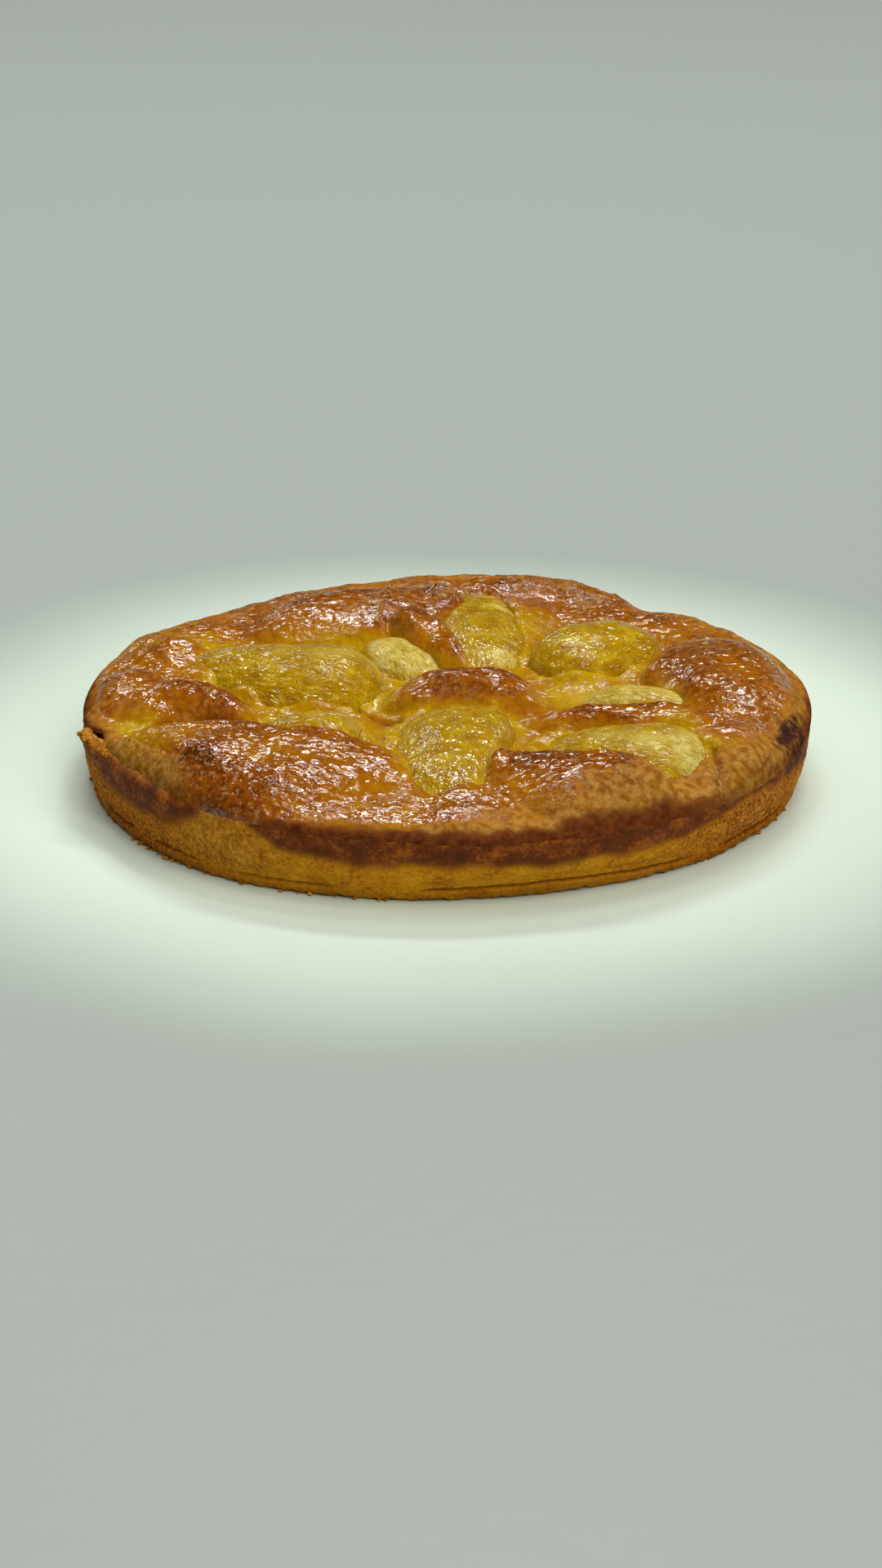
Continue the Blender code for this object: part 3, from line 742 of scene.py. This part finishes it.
def sponge_top():
    """The sponge's top: its points, a number at each for every mark, its faces and its edge in order."""
    disc, faces, edge = disc_grid(TOP_CELLS)
    spread = np.hypot(disc[:, 0], disc[:, 1])
    angle = np.arctan2(disc[:, 1], disc[:, 0])
    brim = sponge_edge(angle)
    radius = brim * np.sqrt(np.sin(spread * np.pi / 2) * spread)  # finer near the edge
    x, y = radius * np.cos(angle), radius * np.sin(angle)

    distances = [pear_distance(x, y, pear) for pear in PEARS.values()]
    away = np.min(distances, axis=0)
    rolled = 1
    for distance in distances:
        share = np.clip(distance / POCKET_EDGE + 0.1, 0, 1)
        rolled = rolled * np.sqrt(1 - (1 - share) ** 2)
    height = sponge_height(x, y, rolled)
    flat = np.stack([x, y, height], axis=1)
    climb = CLIMB + CLIMB_CHANGE * lumps(flat, *CLIMB_LUMPS)
    height += climb * np.exp(-np.maximum(away + CLIMB_START, 0) / CLIMB_WIDTH)
    crevices = [(depth, crevice(x, y, start, end, wide)) for start, end, wide, depth in CREVICES]
    height -= sum(depth * share for depth, share in crevices)

    broad, small, pores = (lumps(flat, size, seed) for _, size, seed in (BROAD, SMALL, PORES))
    folds = wrinkles(flat * (1, 1.5, 1), *FOLDS[1:])
    relief = BROAD[0] * broad + SMALL[0] * small + FOLDS[0] * folds + PORES[0] * pores
    height = height + relief * (0.25 + 0.75 * np.clip((brim - radius) / EDGE_CALM, 0, 1))
    top = height.copy()
    for name, pear in PEARS.items():
        under = pear_top(x, y, pear, LEANS.get(name, 0)) > height + COVER
        top = np.where(under, pear[6] - GAP, top)

    shaded = np.exp(-np.maximum(away, 0) / SHADE_REACH) * (1 - ramp(height, *SHADE_LEVELS))
    browned = 0.46 + 0.16 * broad + 0.12 * ramp(height, *RIDGE_LEVELS) + 0.14 * ramp(y, *BACK_DEPTHS)
    browned -= 0.34 * shaded * (1 - ramp(radius, *SHADE_RADII))
    # Painted shade: the crevices are painted browner along their length.
    browned += 0.6 * np.max([share for _, share in crevices], axis=0) + strips(angle, radius, BROWNER)
    browned = browned * (1 - patches(x, y, PALE)) + 0.16 * patches(x, y, DARK)
    ragged = np.clip((brim - radius) / BROWN_STRIP, 0, 1) + 0.45 * small + 0.3 * broad
    rim = smooth(0.95 - ragged) * (1 - bumps(angle, PALE_STRIP))
    dry = strips(angle, radius, DRIER) + 0.3 * ramp(y, *DRY_BACK)
    dry += 0.5 * ramp(radius, *DRY_EDGE) * (1 - around_bump(angle, WET_EDGE))
    wet = np.clip(1 - dry + 0.3 * lumps(flat, *DRY_LUMPS), 0, 1)
    low = smooth(0.5 - 0.6 * small - 0.45 * pores)
    marks = {"browned": browned, "wet": wet, "low": low, "rim": rim, "burnt": strips(angle, radius, BURNT)}
    return np.stack([x, y, top], axis=1), marks, faces, edge


def sponge_rings(angle):
    """Rings from the sponge's outer edge, over the wall's top and down the case to its floor."""
    rest = case_top(angle) + GAP
    hang = rest - EDGE_HANG * (1.2 + lumps(ring(angle, RIM_RADIUS, 0), *HANG_LUMPS))
    brim = sponge_edge(angle)
    inner = np.minimum(brim - 3 * GAP, wall_radius(angle, rest) - CASE_THICKNESS - GAP)
    side = brim - (rim_radius(angle) - wall_radius(angle, hang))
    rings = [ring(angle, side, hang), ring(angle, side, hang), ring(angle, side - GAP, hang)]
    rings += [ring(angle, side - 2 * GAP, rest), ring(angle, inner, rest)]
    return rings + case_hollow(angle, GAP)


def make_sponge(glazed):
    top, marks, faces, edge = sponge_top()
    rings = sponge_rings(np.arctan2(top[edge, 1], top[edge, 0]))
    hidden = len(rings) * len(edge)
    loops = [edge] + list(len(top) + np.arange(hidden).reshape(len(rings), -1))
    faces += joined(loops[:2]) + joined(loops[2:]) + fan(loops[-1], len(top) + hidden, turned=True)
    points = np.concatenate([top] + rings + [[(0, 0, CASE_FLOOR + GAP)]])
    over = np.tile(edge, len(rings))  # the hidden rings keep the marks of the edge over them
    marks = {name: np.concatenate([mark, mark[over], mark[:1]]) for name, mark in marks.items()}
    return make_piece("puffed_sponge", points, faces, glazed, **marks)


sponge = make_sponge(make_glazed_sponge())
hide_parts("sponge_filling")

# ================================================================ pear halves
# Eight peeled pear halves, laid on their cut faces in a ring and sunk into the batter before baking.
# The flesh is pale green to cream and fibrous, under amber glaze that has run down and wrinkled.

PEAR_RINGS = 160
PEAR_SEGMENTS = 100
POOL_DEPTH = 0.0100  # how far below a pear's crest the syrup has pooled
CUT_CALM = 0.0030  # height over the cut face where the flanks' relief begins
SYRUP_LUMPS = 0.0130  # size of the lumps by which the syrup varies
BAND_WAVE = 0.0022  # length of the wave of bands along a pear, over two pi
BAND_BENDS = (0.0200, 15)  # size and seed of the lumps that bend the bands
BAND_HEIGHT = 0.0006
BAND_FADES = (0.0120, 16)  # and of those that fade their relief

# Relief of the flesh: height, size, seed, and how far it is squeezed along the pear to draw it out.
FLESH = [
    (0.0009, 0.0220, 10, 1.0),
    (0.0005, 0.0080, 11, 0.45),
    (0.00025, 0.0040, 12, 0.4),
    (0.00012, 0.0022, 13, 1.0),
]
FLESH_WRINKLES = (0.0002, 0.0050, 14)

# How amber each pear is at its bulb end and at its stem end, and how strong its bands of syrup are.
SYRUP = {
    "pear_half_front": (1.0, 0.80, 0.2),
    "pear_half_front_right": (-0.10, 1.10, 0.2),
    "pear_half_right": (0.10, 0.20, 0.2),
    "pear_half_back_right": (0.85, 0.55, 0.3),
    "pear_half_back": (0.50, 0.60, 1.0),
    "pear_half_back_left": (0.10, 0.15, 0.3),
    "pear_half_left": (0.25, 1.15, 0.5),
    "pear_half_front_left": (0.35, 0.85, 0.3),
}


def make_glazed_pear():
    """Fibrous flesh under amber syrup with thin pale films and glossy wrinkles."""
    soft = {"Subsurface_Weight": 0.3, "Subsurface_Scale": 0.003, "Subsurface_Radius": (1.0, 0.7, 0.2)}
    pear = Finish("glazed_pear", IOR=1.5, Coat_Weight=0.15, Coat_Roughness=0.04, **soft)
    syrup, place = pear.mark("syrup"), pear.mark("flesh", "Vector")
    along, drawn = pear.drawn(place, 0.35), pear.drawn(place, 0.55)
    fibre, mottle, fine = pear.grain(0.0012, 3, along), pear.grain(0.006, 3), pear.grain(0.0008)
    flesh = [(0.34, screen(158, 124, 20)), (0.46, screen(182, 154, 58)), (0.60, screen(200, 180, 104))]
    flesh = pear.shades(fibre * 0.55 + mottle * 0.45, flesh)
    amber = [(0.30, screen(148, 100, 0)), (0.5, screen(170, 128, 2)), (0.68, screen(192, 158, 22))]
    amber = pear.shades(mottle * 0.7 + fibre * 0.3, amber)
    glazed = (syrup + (mottle - 0.5) * 0.7 + (fibre - 0.5) * 0.4).rise(0.22, 0.62)
    film = pear.lines(0.0035, 0.03, 2, along, 1.2) * (1 - glazed)
    colour = pear.mix(film * 0.25, pear.mix(glazed, flesh, amber), screen(206, 188, 150))
    height = pear.grain(0.0024, 0, drawn, 0.8) * 0.7 + pear.grain(0.0012, 0, drawn, 0.8) * 0.3
    height = height - pear.lines(0.0040, 0.06, 0, drawn, 2.0) * 0.25
    normal = pear.relief(height, 0.0010)
    pear.cover(colour, 0.06 + (fine - 0.5) * 0.03, normal)
    pear.glaze(glazed * 0.8 + 0.2, colour, normal)
    return pear.material


def make_pear(name, values, glazed, seed):
    bulb, stem, cut = np.array(values[0]), np.array(values[1]), values[6]
    length = np.hypot(*(stem - bulb))
    ahead = (stem - bulb) / length
    left = np.array([-ahead[1], ahead[0]])
    around = np.linspace(0, np.pi, PEAR_SEGMENTS + 1)
    wide = np.sign(np.cos(around)) * np.abs(np.cos(around)) ** PEAR_BULGE
    wide = wide + LEANS.get(name, 0) * (1 - wide**2)
    tall = np.sin(around) ** PEAR_BULGE
    along = -np.cos(np.linspace(0, np.pi, PEAR_RINGS + 2))[1:-1, None]
    middle, half = (bulb + stem) / 2, pear_half_width(along, values)
    x = middle[0] + ahead[0] * along * length / 2 + left[0] * wide * half
    y = middle[1] + ahead[1] * along * length / 2 + left[1] * wide * half
    z = cut + tall * pear_rise(along, values)
    points = np.stack([x, y, z], axis=-1).reshape(-1, 3)
    points = np.concatenate([points, [(*bulb, cut), (*stem, cut)]])
    index = np.arange(PEAR_RINGS * len(around)).reshape(PEAR_RINGS, -1)
    faces = [face[::-1] for face in joined(index)]
    faces += fan(index[0], index.size, turned=True) + fan(index[-1], index.size + 1)

    height = points[:, 2]
    along, across, half_length = to_pear(points[:, 0], points[:, 1], values)
    place = np.stack([along * half_length, across, height], axis=1) + seed * 0.2
    at_bulb, at_stem, banded = SYRUP[name]
    pooled = smooth((cut + pear_rise(along, values) - height) / POOL_DEPTH)
    bands = np.sin(along * half_length / BAND_WAVE + 2 * lumps(place, *BAND_BENDS))
    syrup = at_bulb + (at_stem - at_bulb) * (along + 1) / 2 + 0.6 * lumps(place, SYRUP_LUMPS, seed)
    syrup += 0.5 * pooled + 0.25 * banded**2 * bands + 0.1
    piece = make_piece(name + "_glazed", points, faces, glazed, syrup=np.clip(syrup, 0, 1), flesh=place)

    proud = BAND_HEIGHT * banded * bands * lumps(place, *BAND_FADES)
    proud += FLESH_WRINKLES[0] * wrinkles(place, *FLESH_WRINKLES[1:])
    for rise, size, layer, squeeze in FLESH:
        proud += rise * lumps(place * (squeeze, 1, 1), size, layer)
    swell(piece, proud * ramp(height, cut, CUT_CALM))
    return piece


glazed_pear = make_glazed_pear()
for seed, (name, values) in enumerate(PEARS.items(), 1):
    pear_half = make_pear(name, values, glazed_pear, seed)
    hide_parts(name)

# ================================================================ crumbs
# Crumbs of the shortcrust that broke off the torn lip and the folded foot, most of them still stuck
# there and a few fallen beside it.

CRUMB_SIZES = (0.0003, 0.0008)
CRUMB_AWAY = 0.0006  # how far from the foot they lie, and at least from the lip's outer edge
CRUMB_MARKS = {"crumb": 0.6, "band": 0.1, "bare": 0.3, "burn": 0.0, "fold": 0.0, "foot": 0.0}

# Where they gather: angle and half width in degrees, how many.
FOOT_CRUMBS = [(-142, 16, 20), (-112, 12, 8), (-30, 20, 6), (60, 60, 12), (170, 30, 10)]
LIP_CRUMBS = (-161, 6, 60)


def crumb_places(chance):
    """Places of the crumbs at the foot and then at the lip, each with its size."""
    places = []
    for middle, half_width, count in FOOT_CRUMBS:
        for _ in range(count):
            angle = np.radians(chance.normal(middle, half_width / 2))
            size = chance.uniform(*CRUMB_SIZES)
            away = base_radius(angle) + abs(chance.normal(0, CRUMB_AWAY)) + size / 4
            places.append((away * np.cos(angle), away * np.sin(angle), size * 0.55, size))
    middle, half_width, count = LIP_CRUMBS
    for _ in range(count):
        angle = np.radians(chance.normal(middle, half_width / 2))
        size = chance.uniform(*CRUMB_SIZES)
        away = case_radius(angle, case_top(angle)) - chance.uniform(CRUMB_AWAY, CASE_THICKNESS)
        places.append((away * np.cos(angle), away * np.sin(angle), case_top(angle) + size * 0.2, size))
    return places


def make_crumbs(crust, seed=4):
    chance = np.random.default_rng(seed)
    places = crumb_places(chance)
    body = bmesh.new()
    bmesh.ops.create_icosphere(body, subdivisions=2, radius=1)
    ball = np.array([corner.co for corner in body.verts])
    triangles = np.array([[corner.index for corner in face.verts] for face in body.faces])
    body.free()
    points, faces = [], []
    for number, (x, y, z, size) in enumerate(places):
        shape = ball * (1 + 0.35 * lumps(ball + number, 0.9))[:, None] * chance.uniform(0.7, 1.2, 3)
        faces += (triangles + number * len(ball)).tolist()
        points.append(shape * size + (x, y, max(z, size * 0.5)))
    points = np.concatenate(points)
    points[:, 2] = np.maximum(points[:, 2], 0)
    marks = {name: np.full(len(points), share) for name, share in CRUMB_MARKS.items()}
    return make_piece("loose_crumbs", points, faces, crust, **marks)


crumbs = make_crumbs(crust)

# ================================================================ floor, light and camera
# A plain pale surface under soft ceiling lights, seen from the front and a little above.

CAMERA_DISTANCE = 1.38
CAMERA_ELEVATION = np.radians(22.2)
LENS = 94.7
SENSOR = 36.0
FRAME_SHIFT = (-0.00137, -0.00464)  # how far right and up of the tart's middle the camera points
FLOOR_HALF = 15.0
FLOOR_DROP = 0.0002  # how far under the tart the floor lies, so that their faces never flicker


def make_floor():
    mesh = bpy.data.meshes.new("pale_floor")
    corners = [(-1, -1), (1, -1), (1, 1), (-1, 1)]
    mesh.from_pydata([(x * FLOOR_HALF, y * FLOOR_HALF, 0) for x, y in corners], [], [(0, 1, 2, 3)])
    pale = Finish("pale_floor")
    away = pale.node("VectorMath", {"operation": "LENGTH"}, {0: pale.place}, out="Value")
    outer = (away + pale.grain(0.3) * 0.05).rise(0.15, 0.26)
    colour = pale.mix(outer, screen(206, 218, 204), screen(152, 158, 152))
    pale.cover(colour, 0.45, pale.relief(pale.grain(0.01), 0.0001))
    mesh.materials.append(pale.material)
    floor = bpy.data.objects.new("pale_floor", mesh)
    bpy.context.scene.collection.objects.link(floor)
    floor.location.z = -FLOOR_DROP
    return floor


def add_light(name, place, size, power, colour, target=(0.0, 0.0, 0.02)):
    """A strip of light of a given size or, where the size is one angle, soft light from that side."""
    strip = isinstance(size, tuple)
    lamp = bpy.data.lights.new(name, "AREA" if strip else "SUN")
    if strip:
        lamp.shape, lamp.size, lamp.size_y = "RECTANGLE", size[0], size[1]
    else:
        lamp.angle = np.radians(size)
    lamp.energy, lamp.color = power, colour
    light = bpy.data.objects.new(name, lamp)
    light.location = place
    light.visible_glossy = strip
    light.rotation_euler = (Vector(target) - Vector(place)).to_track_quat("-Z", "Y").to_euler()
    bpy.context.scene.collection.objects.link(light)


floor = make_floor()

# Place, length and width, power, colour. The two fills have an angle in place of a size.
add_light("ceiling_back", (0.1, 1.05, 1.55), (0.8, 0.19), 11.9, (0.95, 1.0, 0.99))
add_light("ceiling_over", (0.35, 0.35, 1.75), (0.6, 0.14), 4.5, (0.98, 1.0, 0.98))
add_light("ceiling_front", (-0.25, -0.1, 1.8), (0.5, 0.12), 2.4, (0.98, 1.0, 0.98))
add_light("window_left", (-0.62, 1.35, 0.85), (0.35, 0.12), 1.8, (0.95, 1.0, 0.97))
add_light("window_right", (0.90, 1.25, 0.66), (0.30, 0.10), 0.8, (1.0, 1.0, 1.0))
add_light("front_fill", (0.9, -1.3, 1.8), 60, 2.5, (1.0, 1.0, 0.94))
add_light("room_fill", (-0.8, 0.6, 1.5), 120, 1.05, (0.96, 1.0, 0.96))

world = bpy.data.worlds.new("room")
world.use_nodes = True
background = world.node_tree.nodes["Background"].inputs
background["Color"].default_value = (0.80, 0.86, 0.80, 1)
background["Strength"].default_value = 0.02
bpy.context.scene.world = world
bpy.context.scene.view_settings.view_transform = "Standard"

ahead = Vector((0, np.cos(CAMERA_ELEVATION), -np.sin(CAMERA_ELEVATION)))
up = Vector((0, np.sin(CAMERA_ELEVATION), np.cos(CAMERA_ELEVATION)))
right = Vector((1, 0, 0))
lens = bpy.data.cameras.new("camera")
lens.lens, lens.sensor_width = LENS, SENSOR
lens.clip_start = 0.05
camera = bpy.data.objects.new("camera", lens)
camera.matrix_world = Matrix((right, up, -ahead)).transposed().to_4x4()
camera.location = right * FRAME_SHIFT[0] + up * FRAME_SHIFT[1] - ahead * CAMERA_DISTANCE
bpy.context.scene.collection.objects.link(camera)
bpy.context.scene.camera = camera
